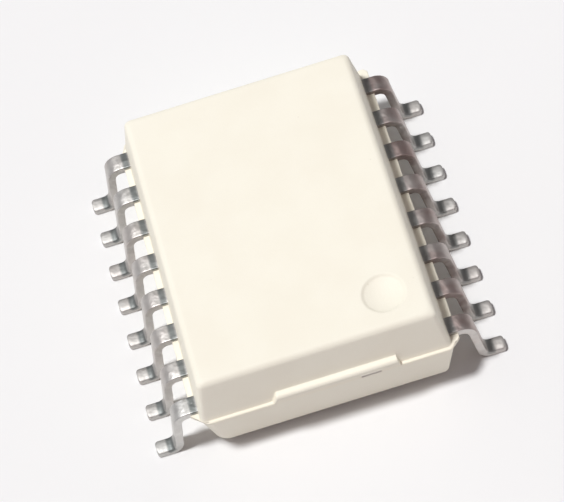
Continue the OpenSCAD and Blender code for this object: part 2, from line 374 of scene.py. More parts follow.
@dataclass(frozen=True)
class TinFinish(Finish):
    """Matte tin over a stamped copper alloy, with painted dark reflections and painted shade."""

    name: str = "matte_tin_finish"
    colour: Colour = (0.690, 0.686, 0.668)
    shade: Colour = (0.570, 0.566, 0.545)
    # Dark of the painted reflections at the shoulder's root and in the heel; a little of it also dulls the
    # feet.
    painted_dark: Colour = (0.190, 0.206, 0.204)
    warm: Colour = (0.600, 0.525, 0.490)
    # Painted shade on the input row and between its leads, brownish.
    painted_shade: Colour = (0.345, 0.268, 0.252)
    grain_scales: Span = (34000.0, 4200.0)
    tone_span: Span = (0.34, 0.66)
    warm_scale: float = 1500.0
    warm_share: Span = (0.15, 0.75)
    painted_shade_x_span: Span = (0.0037, 0.0039)
    painted_shade_z_span: Span = (0.0003, 0.0009)
    edge_span: Span = (0.45, 0.85)
    front_y_span: Span = (-0.0042, -0.0038)
    patch_scale: float = 1300.0
    patch_span: Span = (0.30, 0.70)
    patch_share: Span = (0.35, 1.0)
    foot_z_span: Span = (0.0003, 0.0007)
    foot_dull: float = 0.14
    foot_rough: float = 0.12
    ragged_scale: float = 6000.0
    ragged_share: float = 0.35
    # Painted dark reflections: how they fade in, and their strength on each row.
    painted_dark_span: Span = (0.35, 1.20)
    row_x_span: Span = (-0.001, 0.001)
    painted_dark_share: Span = (0.90, 0.66)
    scuff_scale: float = 9000.0
    scuff_size: float = 0.22
    scuff_share: float = 0.35
    roughness: Span = (0.41, 0.53)
    wave_scale: float = 3000.0
    wave_grain: float = 0.04
    relief: float = 0.000027

    def paint(self, kit: SurfaceKit) -> None:
        """Grained tin with painted dark reflections, painted shade on the input row, a tint of its own for
        each lead, dull feet and sparse scuffs.

        Args:
            kit: The material's nodes.
        """
        place = kit.coordinates()
        at = kit.split(place)
        grain = kit.grain(place, self.grain_scales)
        base = kit.blend(kit.ramp(grain["Tone"], *self.tone_span), self.shade, self.colour)
        tint = kit.ramp(kit.attribute("lead_tint"), 0.0, 1.0, *self.warm_share)
        base = kit.blend(kit.product(kit.noise(place, self.warm_scale), tint), base, self.warm)
        # Painted shade: brownish dark on the shaded input row and between its leads.
        base = kit.blend(self.painted_shade_share(kit, place, at), base, self.painted_shade)
        foot = kit.fade(at["Z"], *self.foot_z_span)
        base = kit.blend(kit.product(foot, self.foot_dull), base, self.painted_dark)
        # Painted dark reflections at the shoulder's root and in the heel, stronger on the output row.
        uneven = kit.product(kit.noise(place, self.ragged_scale), self.ragged_share)
        ragged = kit.maths("ADD", kit.attribute("forming"), uneven)
        dark = kit.product(kit.ramp(ragged, *self.painted_dark_span),
                           kit.ramp(at["X"], *self.row_x_span, *self.painted_dark_share))
        base = kit.blend(dark, base, self.painted_dark)
        scuffs = kit.product(kit.marks(place, self.scuff_scale, self.scuff_size), self.scuff_share)
        kit.set("Base Color", kit.blend(scuffs, base, self.shade))
        kit.set("Metallic", 1.0)
        rough = kit.ramp(grain["Height"], *GRAIN_SPAN, *self.roughness)
        kit.set("Roughness", kit.maths("ADD", rough, kit.product(foot, self.foot_rough)))
        fine = kit.product(grain["Height"], self.wave_grain)
        kit.bump(kit.maths("ADD", fine, kit.noise(place, self.wave_scale)), self.relief, 1.0)

    def painted_shade_share(self, kit: SurfaceKit, place: Socket, at: Sockets) -> Socket:
        """Share of painted brownish shade, on the outer faces of the input row above its feet, and between
        its leads.

        Args:
            kit: The material's nodes.
            place: Object coordinates.
            at: The same coordinates, one by one.

        Returns:
            Socket with the share, from 0 to 1.
        """
        sideways = kit.maths("ABSOLUTE", kit.split(kit.coordinates("Normal"))["Y"])
        between = kit.ramp(at["Y"], *self.front_y_span)
        flat = kit.maths("MAXIMUM", kit.fade(sideways, *self.edge_span), between)
        patchy = kit.ramp(kit.noise(place, self.patch_scale), *self.patch_span, *self.patch_share)
        return kit.product(kit.ramp(at["X"], *self.painted_shade_x_span), kit.ramp(at["Z"], *self.painted_shade_z_span),
                           flat, patchy)


@dataclass(frozen=True)
class SiliconFinish(Finish):
    """Silicon chip with a fine grid of circuit blocks."""

    name: str = "silicon_chip_finish"
    colour: Colour = (0.085, 0.092, 0.120)
    block: Colour = (0.260, 0.235, 0.190)
    cell_scale: float = 5200.0
    cell_span: Span = (0.30, 0.42)
    block_scale: float = 9000.0
    grain_scales: Span = (60000.0, 5000.0)
    roughness: Span = (0.12, 0.28)
    metallic: float = 0.35

    def paint(self, kit: SurfaceKit) -> None:
        """Blocks of circuit on dark polished silicon.

        Args:
            kit: The material's nodes.
        """
        place = kit.coordinates()
        cells = kit.add("ShaderNodeTexVoronoi", {"Vector": place, "Scale": self.cell_scale}, feature="F1",
                        distance="CHEBYCHEV")
        blocks = kit.product(kit.fade(cells.outputs["Distance"], *self.cell_span),
                             kit.noise(place, self.block_scale, detail=1.0))
        kit.set("Base Color", kit.blend(blocks, self.colour, self.block))
        tone = kit.grain(place, self.grain_scales)["Tone"]
        kit.set("Roughness", kit.ramp(tone, *GRAIN_SPAN, *self.roughness))
        kit.set("Metallic", self.metallic)


@dataclass(frozen=True)
class GrainedFinish(Finish):
    """Two tones that follow a fine grain, on a crystal or a metal."""

    name: str
    low: Colour
    high: Colour
    grain_scales: Span
    roughness: Span
    metallic: float
    tone_span: Span = (0.35, 0.65)

    def paint(self, kit: SurfaceKit) -> None:
        """Both tones, and a roughness that goes with the grain's height.

        Args:
            kit: The material's nodes.
        """
        grain = kit.grain(kit.coordinates(), self.grain_scales)
        kit.set("Base Color", kit.blend(kit.ramp(grain["Tone"], *self.tone_span), self.low, self.high))
        kit.set("Metallic", self.metallic)
        kit.set("Roughness", kit.ramp(grain["Height"], *GRAIN_SPAN, *self.roughness))


@dataclass(frozen=True)
class EmitterFinish(GrainedFinish):
    """Red light-emitting die with sawn, frosted sides."""

    name: str = "emitter_die_finish"
    low: Colour = (0.270, 0.060, 0.040)
    high: Colour = (0.420, 0.180, 0.130)
    grain_scales: Span = (70000.0, 12000.0)
    roughness: Span = (0.25, 0.45)
    metallic: float = 0.0


@dataclass(frozen=True)
class GoldFinish(GrainedFinish):
    """Drawn gold wire with faint drawing marks."""

    name: str = "gold_wire_finish"
    low: Colour = (0.680, 0.420, 0.120)
    high: Colour = (0.830, 0.560, 0.190)
    grain_scales: Span = (90000.0, 16000.0)
    roughness: Span = (0.16, 0.30)
    metallic: float = 1.0


@dataclass(frozen=True)
class SiliconeFinish(Finish):
    """Clear cured silicone."""

    name: str = "clear_silicone_finish"
    colour: Colour = (0.920, 0.950, 0.960)
    index: float = 1.41
    grain_scales: Span = (9000.0, 2500.0)
    roughness: Span = (0.03, 0.12)
    relief: float = 0.00001
    relief_share: float = 0.15

    def paint(self, kit: SurfaceKit) -> None:
        """Clear and slightly uneven.

        Args:
            kit: The material's nodes.
        """
        kit.set("Base Color", self.colour)
        kit.set("Transmission Weight", 1.0)
        kit.set("IOR", self.index)
        grain = kit.grain(kit.coordinates(), self.grain_scales)
        kit.set("Roughness", kit.ramp(grain["Tone"], *GRAIN_SPAN, *self.roughness))
        kit.bump(grain["Height"], self.relief, self.relief_share)


def piece_from(name: str, mesh: bpy.types.Mesh, finish: Finish) -> bpy.types.Object:
    """Makes a smooth-shaded object at the origin from a finished mesh.

    Args:
        name: Name of the piece.
        mesh: Its mesh, in metres in the part's frame.
        finish: Its finish.

    Returns:
        The new object, linked to the scene.
    """
    mesh.materials.clear()
    mesh.materials.append(finish.material())
    mesh.shade_smooth()
    piece = bpy.data.objects.new(name, mesh)
    bpy.context.scene.collection.objects.link(piece)
    return piece


class Station(NamedTuple):
    """One upright line round the outline of the body: on an end, on a side, or at a turn of a corner."""

    place: Place
    side_x: float
    side_y: float
    along: float = 0.0
    angle: float = 0.0


class Wave(NamedTuple):
    """One scale of the flash's ragged edge: its waves in a millimetre, where it starts and its weight."""

    scale: float
    side_start: float
    start: float
    weight: float


@dataclass
class MouldedBody:
    """The moulding: two drafted halves, ledge, raised steps, flash, dimple and gate scar."""

    length: float = 10.312
    width: float = 7.493
    height: float = 3.302
    standoff: float = 0.203
    parting: float = 1.707
    draft: float = math.radians(9.0)
    end_ledge: float = 0.104
    side_ledge: float = 0.045
    corner_r: float = 0.16
    corner_widening: float = 0.3
    broken_r: float = 0.30
    broken_taper: Span = (1.0, 0.75)
    top_rim: float = 0.21
    bottom_rim: float = 0.20
    flat_band: float = 0.05
    edge_r: float = 0.022
    ledge_r: Span = (0.05, 0.11)
    ledge_rows: tuple[float, ...] = (-0.127, -0.110, -0.095, -0.080, -0.065)
    step_w: float = 3.65
    step_h: float = 0.36
    step_out: float = 0.09
    step_runs: Span = (0.20, 0.09)
    step_x: float = 0.28
    scar_w: float = 0.60
    scar_h: float = 0.09
    scar_depth: float = 0.015
    scar_x: float = 1.30
    scar_ease: float = 0.012
    scar_wall: float = 0.005
    scar_lip: float = 0.001
    scar_margin: float = 0.025
    flash_w: float = 0.254
    flash_t: float = 0.127
    flash_rows: tuple[float, ...] = (0.045, 0.075, 0.105)
    flash_cuts: dict[tuple[int, int], float] = field(default_factory=lambda: {
        (-1, -1): 0.44, (1, -1): 0.32, (1, 1): 0.10, (-1, 1): 0.62})
    cut_turns: tuple[float, ...] = (0.0, 0.25, 0.8, 1.0)
    flash_back: float = 0.9
    flash_rise: float = 0.07
    left_trim: float = 0.05
    ragged: float = 0.035
    ragged_fade: float = 0.15
    ragged_waves: tuple[Wave, ...] = (Wave(1.7, 5.0, 0.3, 0.6), Wave(9.0, 3.0, 7.1, 0.4))
    dimple_d: float = 1.27
    dimple_depth: float = 0.15
    dimple_at: Span = (2.2905, -3.67)
    dimple_wall: float = 0.05
    dimple_ease: float = 0.035
    end_steps: int = 84
    side_steps: int = 230
    corner_steps: int = 18
    slope_steps: int = 6
    ledge_steps: int = 4
    rim_steps: int = 12
    lower_steps: int = 7
    upper_steps: int = 8
    dimple_turns: int = 96
    floor_rings: int = 9
    wall_rings: int = 16
    ease_steps: int = 8
    merge: float = 0.0004
    finish: Finish = field(default_factory=MouldFinish)

    @property
    def parting_z(self) -> float:
        """Height of the parting plane above the board."""
        return self.standoff + self.parting

    @property
    def top_z(self) -> float:
        """Height of the top above the board."""
        return self.standoff + self.height

    def out(self, z: float, upper: bool) -> float:
        """How far a half's walls stand out at a height, past their place at the parting plane."""
        return (self.parting_z - z if upper else z - self.parting_z) * math.tan(self.draft)

    def half_size(self, upper: bool) -> Span:
        """Half sizes along X and Y, between the walls of the upper or lower half at the parting plane."""
        side, end = (0.0, self.end_ledge) if upper else (self.side_ledge, 0.0)
        return self.width / 2 + side, self.length / 2 - end

    def straight(self) -> Span:
        """Half lengths along X and Y of the stretch of wall that is straight at every height."""
        pull = ((1 + self.corner_widening) * self.top_rim + self.corner_r + 2 * self.flat_band
                - self.out(self.top_z, True))
        return tuple(half - pull for half in self.half_size(True))

    def raised(self, station: Station) -> float:
        """Height of the raised step at a station, eased at its slopes.

        Args:
            station: The upright line.

        Returns:
            Share of the step's full height.
        """
        if station.place is not Place.END:
            return 0.0
        off = station.along - self.step_x
        run = self.step_runs[0 if off < 0 else 1]
        return smooth((self.step_w / 2 + self.step_out - abs(off)) / run)

    def stations(self) -> list[Station]:
        """Upright lines round the outline, closer together at the step's slopes and the scar.

        Returns:
            The lines, from the front end and on to the right.
        """
        half_x, half_y = self.straight()
        marks = [self.step_x + s * (self.step_w / 2 + self.step_out - i * run / self.slope_steps)
                 for s, run in zip((-1, 1), self.step_runs) for i in range(-1, self.slope_steps + 2)]
        marks += [self.scar_x + s * (self.scar_w / 2 + ease)
                  for s in (-1, 1) for ease in (-self.scar_ease, 0.0, self.scar_ease)]
        xs = sorted(set(round(x, 5) for x in spread(-half_x, half_x, self.end_steps) + marks))
        ys = spread(-half_y, half_y, self.side_steps)
        turns = spread(0.0, QUARTER, self.corner_steps)
        line: list[Station] = []
        for s in (1, -1):
            line += [Station(Place.END, 0, -s, x) for x in xs[::s]]
            line += [Station(Place.CORNER, s, -s, 0, turn) for turn in turns]
            line += [Station(Place.SIDE, s, 0, y) for y in ys[::s]]
            line += [Station(Place.CORNER, s, s, 0, turn) for turn in reversed(turns)]
        return line

    def spot(self, station: Station, out: float, z: float, upper: bool, inset: float = 0.0) -> Point:
        """Point of a station in millimetres.

        Args:
            station: The upright line.
            out: Distance out from the half's wall at the parting plane.
            z: Height above the board.
            upper: Whether the upper half's wall is meant.
            inset: How far the rim has drawn in there, which widens a corner's round.

        Returns:
            The point.
        """
        half_x, half_y = self.half_size(upper)
        half_x, half_y = half_x + out, half_y + out
        if station.place is Place.END:
            return station.along, station.side_y * half_y, z
        if station.place is Place.SIDE:
            return station.side_x * half_x, station.along, z
        r = self.corner_r + self.corner_widening * inset
        if not upper and station.side_x < 0 and station.side_y < 0:  # Worn where the flash has broken off
            r += self.broken_r * mix(*self.broken_taper, (z - self.standoff) / self.parting)
        x = half_x - r + r * math.sin(station.angle)
        y = half_y - r + r * math.cos(station.angle)
        return station.side_x * x, station.side_y * y, z

    def raggedness(self, side: float, y: float) -> float:
        """How far the flash's edge falls short of its full reach.

        Args:
            side: Sign of the side along X.
            y: Place along the side.

        Returns:
            The distance in millimetres.
        """
        uneven = 0.0
        for wave in self.ragged_waves:
            place = Vector((y * wave.scale, side * wave.side_start, wave.start))
            uneven += wave.weight * (0.5 + 0.5 * noise.noise(place))
        trim = self.left_trim if side < 0 else 0.0
        return smooth((self.straight()[1] - abs(y)) / self.ragged_fade) * (trim + self.ragged * uneven)

    def flash_edge(self, station: Station) -> Span:
        """Place of the flash's edge at a side or corner station, without the corner's signs.

        Args:
            station: The upright line.

        Returns:
            Distances from the middle along X and Y.
        """
        full_x, full_y = self.width / 2 + self.flash_w, self.length / 2
        if station.place is Place.SIDE:
            return full_x - self.raggedness(station.side_x, station.along), station.along
        cut = self.flash_cuts[station.side_x, station.side_y]
        wall_x, wall_y = (half - self.corner_r for half in self.half_size(False))
        line = ((min(wall_x, full_x - cut), full_y), (full_x - cut, full_y),
                (full_x, full_y - cut), (full_x, min(wall_y, full_y - cut)))
        turn, marks = station.angle / QUARTER, self.cut_turns
        leg = next(i for i in range(len(marks) - 1) if turn <= marks[i + 1] + 1e-9)
        share = (turn - marks[leg]) / (marks[leg + 1] - marks[leg])
        return mix(line[leg][0], line[leg + 1][0], share), mix(line[leg][1], line[leg + 1][1], share)

    def flash_spot(self, station: Station, back: float, z: float) -> Point:
        """Point on the flash, some way back from its edge towards the wall.

        Args:
            station: The upright line, on a side or at a corner.
            back: Distance back from the edge.
            z: Height above the board.

        Returns:
            The point in millimetres.
        """
        x, y = self.flash_edge(station)
        if station.place is Place.SIDE:
            return station.side_x * (x - back), y, z
        edge = Vector((station.side_x * x, station.side_y * y, z))
        root = Vector(self.spot(station, 0.0, z, False)) - edge
        return tuple(edge + root * min(self.flash_back, back / max(root.length, 1e-6)))

    def end_ring(self, station: Station) -> list[Point]:
        """Upper stretch of the lower wall, with the scar and the ledge's edge, at an end or a corner.

        Args:
            station: The upright line.

        Returns:
            Its points, as many as flash_ring has.
        """
        share = self.raised(station)
        ledge = self.parting_z + self.step_h * share
        r, half = mix(*self.ledge_r, share), self.scar_h / 2
        scar_floor = (-half + self.scar_wall, half - self.scar_wall)
        scar_rows = (-half - self.scar_margin, -half - self.scar_lip, *scar_floor, half + self.scar_lip)
        scarred = (station.place is Place.END and station.side_y < 0
                   and abs(station.along - self.scar_x) < self.scar_w / 2 + self.scar_lip)
        points = []
        for low_z, high_z in zip(self.ledge_rows, scar_rows):
            z = self.parting_z + mix(low_z, high_z, share)
            sunk = self.scar_depth if scarred and high_z in scar_floor else 0.0
            points.append(self.spot(station, self.out(z, False) - sunk, z, False))
        centre = self.out(ledge, False) - r
        for turn in spread(0.0, QUARTER, self.ledge_steps):
            out, z = centre + r * math.cos(turn), ledge - r + r * math.sin(turn)
            points.append(self.spot(station, out, z, False))
        return points

    def flash_ring(self, station: Station) -> list[Point]:
        """Section of the flash, from under its root, round its edge and back along its top.

        Args:
            station: The upright line, on a side or at a corner.

        Returns:
            Its points.
        """
        z, e = self.parting_z, self.edge_r
        under, turned = z - self.flash_t, TURNED * self.edge_r
        backs = [(e, under), (turned, under + turned), (0.0, under + e), (0.0, z - e), (turned, z - turned),
                 (e, z)] + [(back, z) for back in self.flash_rows]
        points = [self.spot(station, self.out(under, False), under, False)]
        return points + [self.flash_spot(station, back, height) for back, height in backs]

    def corner_ring(self, station: Station) -> list[Point]:
        """Section at a corner, where the flash runs out into the end wall.

        Args:
            station: The upright line.

        Returns:
            Its points, as many as flash_ring has.
        """
        edge = self.flash_edge(station)
        wall = self.spot(station, 0.0, self.parting_z, False)
        gap = ((edge[0] - abs(wall[0])) * math.sin(station.angle)
               + (edge[1] - abs(wall[1])) * math.cos(station.angle))
        share = smooth(gap / self.flash_rise)
        return [tuple(Vector(plain).lerp(Vector(proud), share))
                for plain, proud in zip(self.end_ring(station), self.flash_ring(station))]

    def rim(self, station: Station, upper: bool) -> list[Point]:
        """Points round a half's rim, from its flat face to its wall.

        Args:
            station: The upright line.
            upper: Whether the upper half is meant.

        Returns:
            The points, as many for each station.
        """
        r = self.top_rim if upper else self.bottom_rim
        face_z = self.top_z if upper else self.standoff
        sharp = self.out(face_z, upper)
        centre = sharp + r * math.tan(self.draft) - r / math.cos(self.draft)
        inward = -1.0 if upper else 1.0
        points = [self.spot(station, centre - self.flat_band, face_z, upper, r + self.flat_band)]
        for turn in spread(QUARTER, self.draft, self.rim_steps):
            out = centre + r * math.cos(turn)
            inset = r * (math.cos(self.draft) - math.cos(turn))
            points.append(self.spot(station, out, face_z + inward * r * (1 - math.sin(turn)), upper, inset))
        return points

    def column(self, station: Station) -> list[Point]:
        """All the points of a station, from the underside to the top.

        Args:
            station: The upright line.

        Returns:
            Its points in millimetres, as many for each station.
        """
        rings = {Place.END: self.end_ring, Place.SIDE: self.flash_ring, Place.CORNER: self.corner_ring}
        points, middle = self.rim(station, False), rings[station.place](station)
        top = self.rim(station, True)[::-1]
        for z in spread(points[-1][2], middle[0][2], self.lower_steps)[1:-1]:
            points.append(self.spot(station, self.out(z, False), z, False))
        points += middle
        e, ledge = self.edge_r, self.parting_z + self.step_h * self.raised(station)
        foot = self.out(ledge, True)
        points.append(self.spot(station, foot + e, ledge, True))
        points.append(self.spot(station, foot + TURNED * e, ledge + TURNED * e, True))
        for z in spread(ledge + e, top[0][2], self.upper_steps)[:-1]:
            points.append(self.spot(station, self.out(z, True), z, True))
        return points + top

    def dimple_drop(self, rho: float) -> float:
        """Depth of the dimple below the top, before its edges are eased.

        Args:
            rho: Distance from the dimple's middle.

        Returns:
            The depth, 0 outside the dimple.
        """
        floor_r, dish = self.dimple_d / 2 - self.dimple_wall, self.dimple_depth - self.dimple_wall
        if rho >= floor_r:
            return max(0.0, self.dimple_d / 2 - rho)
        radius = (floor_r ** 2 + dish ** 2) / (2 * dish)
        return self.dimple_depth - radius + math.sqrt(radius ** 2 - rho ** 2)

    def dish(self, bm: bmesh.types.BMesh) -> list[bmesh.types.BMVert]:
        """Makes the dimple with its eased edges.

        Args:
            bm: Mesh that the dish is added to.

        Returns:
            The dish's outer ring, which lies in the top.
        """
        (cx, cy), count = self.dimple_at, self.dimple_turns
        rim = self.dimple_d / 2 + self.dimple_ease
        inner = self.dimple_d / 2 - self.dimple_wall - self.dimple_ease
        offsets = spread(-self.dimple_ease, self.dimple_ease, self.ease_steps)
        turns = [2 * math.pi * i / count for i in range(count)]
        middle = bm.verts.new(Vector((cx, cy, self.top_z - self.dimple_drop(0.0))) * MM)
        ring: list[bmesh.types.BMVert] = []
        radii = spread(0.0, inner, self.floor_rings)[1:] + spread(inner, rim, self.wall_rings)[1:]
        for rho in radii + [rim + self.flat_band]:
            drop = sum(self.dimple_drop(abs(rho + offset)) for offset in offsets) / len(offsets)
            new = [bm.verts.new(Vector((cx + rho * math.cos(turn), cy + rho * math.sin(turn),
                                        self.top_z - drop)) * MM) for turn in turns]
            for i in range(count):
                j = (i + 1) % count
                bm.faces.new((ring[i], new[i], new[j], ring[j]) if ring else (middle, new[i], new[j]))
            ring = new
        return ring

    def mesh(self) -> bpy.types.Mesh:
        """Makes the closed outer skin of the moulding.

        Returns:
            Its mesh in metres.
        """
        bm = bmesh.new()
        columns = []
        for station in self.stations():
            columns.append([bm.verts.new(Vector(point) * MM) for point in self.column(station)])
        for here, there in zip(columns, columns[1:] + columns[:1]):
            for low, high in zip(range(len(here)), range(1, len(here))):
                bm.faces.new((here[low], there[low], there[high], here[high]))
        bm.faces.new([column[0] for column in reversed(columns)])
        rims = [[column[-1] for column in columns], self.dish(bm)]
        edges = []
        for rim in rims:
            for a, b in zip(rim, rim[1:] + rim[:1]):
                edges.append(bm.edges.get((a, b)) or bm.edges.new((a, b)))
        bmesh.ops.triangle_fill(bm, use_beauty=True, use_dissolve=False, edges=edges, normal=(0, 0, 1))
        bmesh.ops.remove_doubles(bm, verts=bm.verts[:], dist=self.merge * MM)
        bmesh.ops.recalc_face_normals(bm, faces=bm.faces[:])
        mesh = bpy.data.meshes.new("moulded_body")
        bm.to_mesh(mesh)
        bm.free()
        return mesh

    def build(self) -> bpy.types.Object:
        """Makes the moulding and seats it in the frame.

        Returns:
            The piece.
        """
        piece = piece_from("moulded_body", self.mesh(), self.finish)
        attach(piece, BODY_NAME)
        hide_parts("body")
        return piece


class Section(NamedTuple):
    """One cross-section of a lead: where it is, which way it runs, its half sizes and its painted dark
    reflection.
    """

    x: float
    z: float
    heading: float
    half_w: float
    half_t: float
    forming: float
    roll: float = 0.0


@dataclass
class GullWingLead:
    """One formed lead, from its root in the moulding to the tip of its foot."""

    lead_w: float = 0.457
    shoulder_w: float = 0.56
    lead_t: float = 0.254
    leg_t: float = 0.250
    level: float = 1.91
    root_x: float = 3.45
    wall_x: float = 4.0005
    bend_x: float = 4.0705
    shoulder_r: float = 0.347
    heel_r: float = 0.339
    lean: float = math.radians(7.8)
    taper_runs: tuple[float, ...] = (0.012, 0.03, 0.05, 0.07)
    leg_start: float = 0.12
    foot_l: float = 0.387
    tip_r: float = 0.09
    tip_turn: float = math.radians(86.0)
    tip_thinning: float = 0.012
    tip_thin_turn: float = 1.5
    edge_r: float = 0.032
    roll_w: Span = (0.040, 0.20)
    roll_d: Span = (0.036, 0.055)
    roll_most: float = 0.9
    # Painted dark reflections by the shoulder's root and in the heel, on the outer face.
    root_reflection_in: float = 0.15
    root_reflection_reach: float = 0.15
    root_reflection_level: float = 1.25
    heel_reflection_start: float = 0.25
    heel_reflection_run: float = 0.4
    foot_reflection_run: float = 0.14
    reflection_wrap: float = 0.6
    level_steps: int = 14
    bend_steps: int = 18
    leg_steps: int = 14
    foot_steps: int = 8
    corner_steps: int = 6

    def root_reflection(self, x: float) -> float:
        """Strength of the painted dark reflection on the shoulder by its root, at a distance from the middle.
        """
        off = abs(x - self.wall_x + self.root_reflection_in)
        return smooth(self.root_reflection_level - off / self.root_reflection_reach)

    def shoulder(self) -> list[Section]:
        """Level run out of the moulding, and the bend down.

        Returns:
            Their cross-sections.
        """
        wide, thick = self.shoulder_w / 2, self.lead_t / 2
        line = [Section(x, self.level, 0.0, wide, thick, self.root_reflection(x))
                for x in spread(self.root_x, self.bend_x, self.level_steps)[:-1]]
        for turn in spread(0.0, QUARTER - self.lean, self.bend_steps):
            x = self.bend_x + self.shoulder_r * math.sin(turn)
            z = self.level - self.shoulder_r * (1 - math.cos(turn))
            line.append(Section(x, z, -turn, wide, thick, self.root_reflection(x)))
        return line

    def leg(self, top: Section, low_x: float, low_z: float) -> list[Section]:
        """Leaning leg, which narrows below the shoulder.

        Args:
            top: Last cross-section of the shoulder's bend.
            low_x: Distance of the leg's lower end from the middle.
            low_z: Height of the leg's lower end.

        Returns:
            Its cross-sections, without the lower end.
        """
        length = (top.z - low_z) / math.cos(self.lean)
        line = []
        for run in (*self.taper_runs, *spread(self.leg_start, length, self.leg_steps)[:-1]):
            share = run / length
            half_w = mix(self.shoulder_w / 2, self.lead_w / 2, smooth(run / self.taper_runs[-1]))
            line.append(Section(mix(top.x, low_x, share), mix(top.z, low_z, share), top.heading, half_w,
                                self.leg_t / 2, 0.0))
        return line

    def foot(self, foot_x: float) -> list[Section]:
        """Heel bend, flat foot and rounded tip.

        Args:
            foot_x: Distance of the heel's end from the middle.

        Returns:
            Their cross-sections.
        """
        slim, thick, down = self.lead_w / 2, self.lead_t / 2, QUARTER - self.lean
        line = []
        # The heel and the start of the foot carry painted dark reflection.
        for turn in spread(down, 0.0, self.bend_steps):
            share = 1.0 - turn / down
            line.append(Section(foot_x - self.heel_r * math.sin(turn),
                                thick + self.heel_r * (1 - math.cos(turn)), -turn, slim, thick,
                                smooth((share - self.heel_reflection_start) / self.heel_reflection_run), smooth(share)))
        flat = self.foot_l - self.tip_r
        for run in spread(0.0, flat, self.foot_steps)[1:]:
            line.append(Section(foot_x + run, thick, 0.0, slim, thick,
                                smooth(1 - run / self.foot_reflection_run), 1.0))
        for turn in spread(0.0, self.tip_turn, self.foot_steps)[1:]:
            line.append(Section(foot_x + flat + self.tip_r * math.sin(turn), thick, 0.0,
                                slim - self.tip_r * (1 - math.cos(turn)),
                                thick - self.tip_thinning * smooth(turn / self.tip_thin_turn), 0.0, 1.0))
        return line

    def sections(self) -> list[Section]:
        """Cross-sections from the root to the tip.

        Returns:
            The cross-sections in order.
        """
        line = self.shoulder()
        top = line[-1]
        low_z = self.lead_t / 2 + self.heel_r * (1 - math.sin(self.lean))
        low_x = top.x + (top.z - low_z) * math.tan(self.lean)
        return line + self.leg(top, low_x, low_z) + self.foot(low_x + self.heel_r * math.cos(self.lean))

    def outline(self, s: Section) -> list[Span]:
        """Outline of a cross-section, rolled over more on its outer face.

        Args:
            s: The cross-section.

        Returns:
            Its points, across and through the metal.
        """
        rolled = mix(*self.roll_w, s.roll), mix(*self.roll_d, s.roll)
        points = []
        for quarter, (sy, sn) in enumerate(((1, 1), (-1, 1), (-1, -1), (1, -1))):
            wide, deep = rolled if sn > 0 else (self.edge_r, self.edge_r)
            wide = min(wide, s.half_w * self.roll_most)
            for i in range(self.corner_steps + 1):
                turn = QUARTER * (quarter + i / self.corner_steps)
                points.append((sy * (s.half_w - wide) + wide * math.cos(turn),
                               sn * (s.half_t - deep) + deep * math.sin(turn)))
        return points

    def mesh(self) -> bpy.types.Mesh:
        """Sweeps the outline along the lead, at the middle of its row.

        Returns:
            The lead's mesh in metres, with its mask of painted dark reflections stored.
        """
        bm = bmesh.new()
        painted_dark = bm.verts.layers.float.new("forming")
        rings = []
        for s in self.sections():
            c, d = math.cos(s.heading), math.sin(s.heading)
            ring = []
            for across, through in self.outline(s):
                vert = bm.verts.new(((s.x - through * d) * MM, across * MM, (s.z + through * c) * MM))
                # Painted dark reflection, on the outer face only.
                vert[painted_dark] = s.forming * smooth(through / s.half_t + self.reflection_wrap)
                ring.append(vert)
            rings.append(ring)
        for here, there in zip(rings, rings[1:]):
            for i in range(len(here)):
                j = (i + 1) % len(here)
                bm.faces.new((here[i], here[j], there[j], there[i]))
        bm.faces.new(rings[0])
        bm.faces.new(list(reversed(rings[-1])))
        bmesh.ops.recalc_face_normals(bm, faces=bm.faces[:])
        mesh = bpy.data.meshes.new("lead")
        bm.to_mesh(mesh)
        bm.free()
        return mesh


class Slab(NamedTuple):
    """A flat stretch of lead frame inside the moulding, as its low and high corners in plan."""

    x0: float
    y0: float
    x1: float
    y1: float


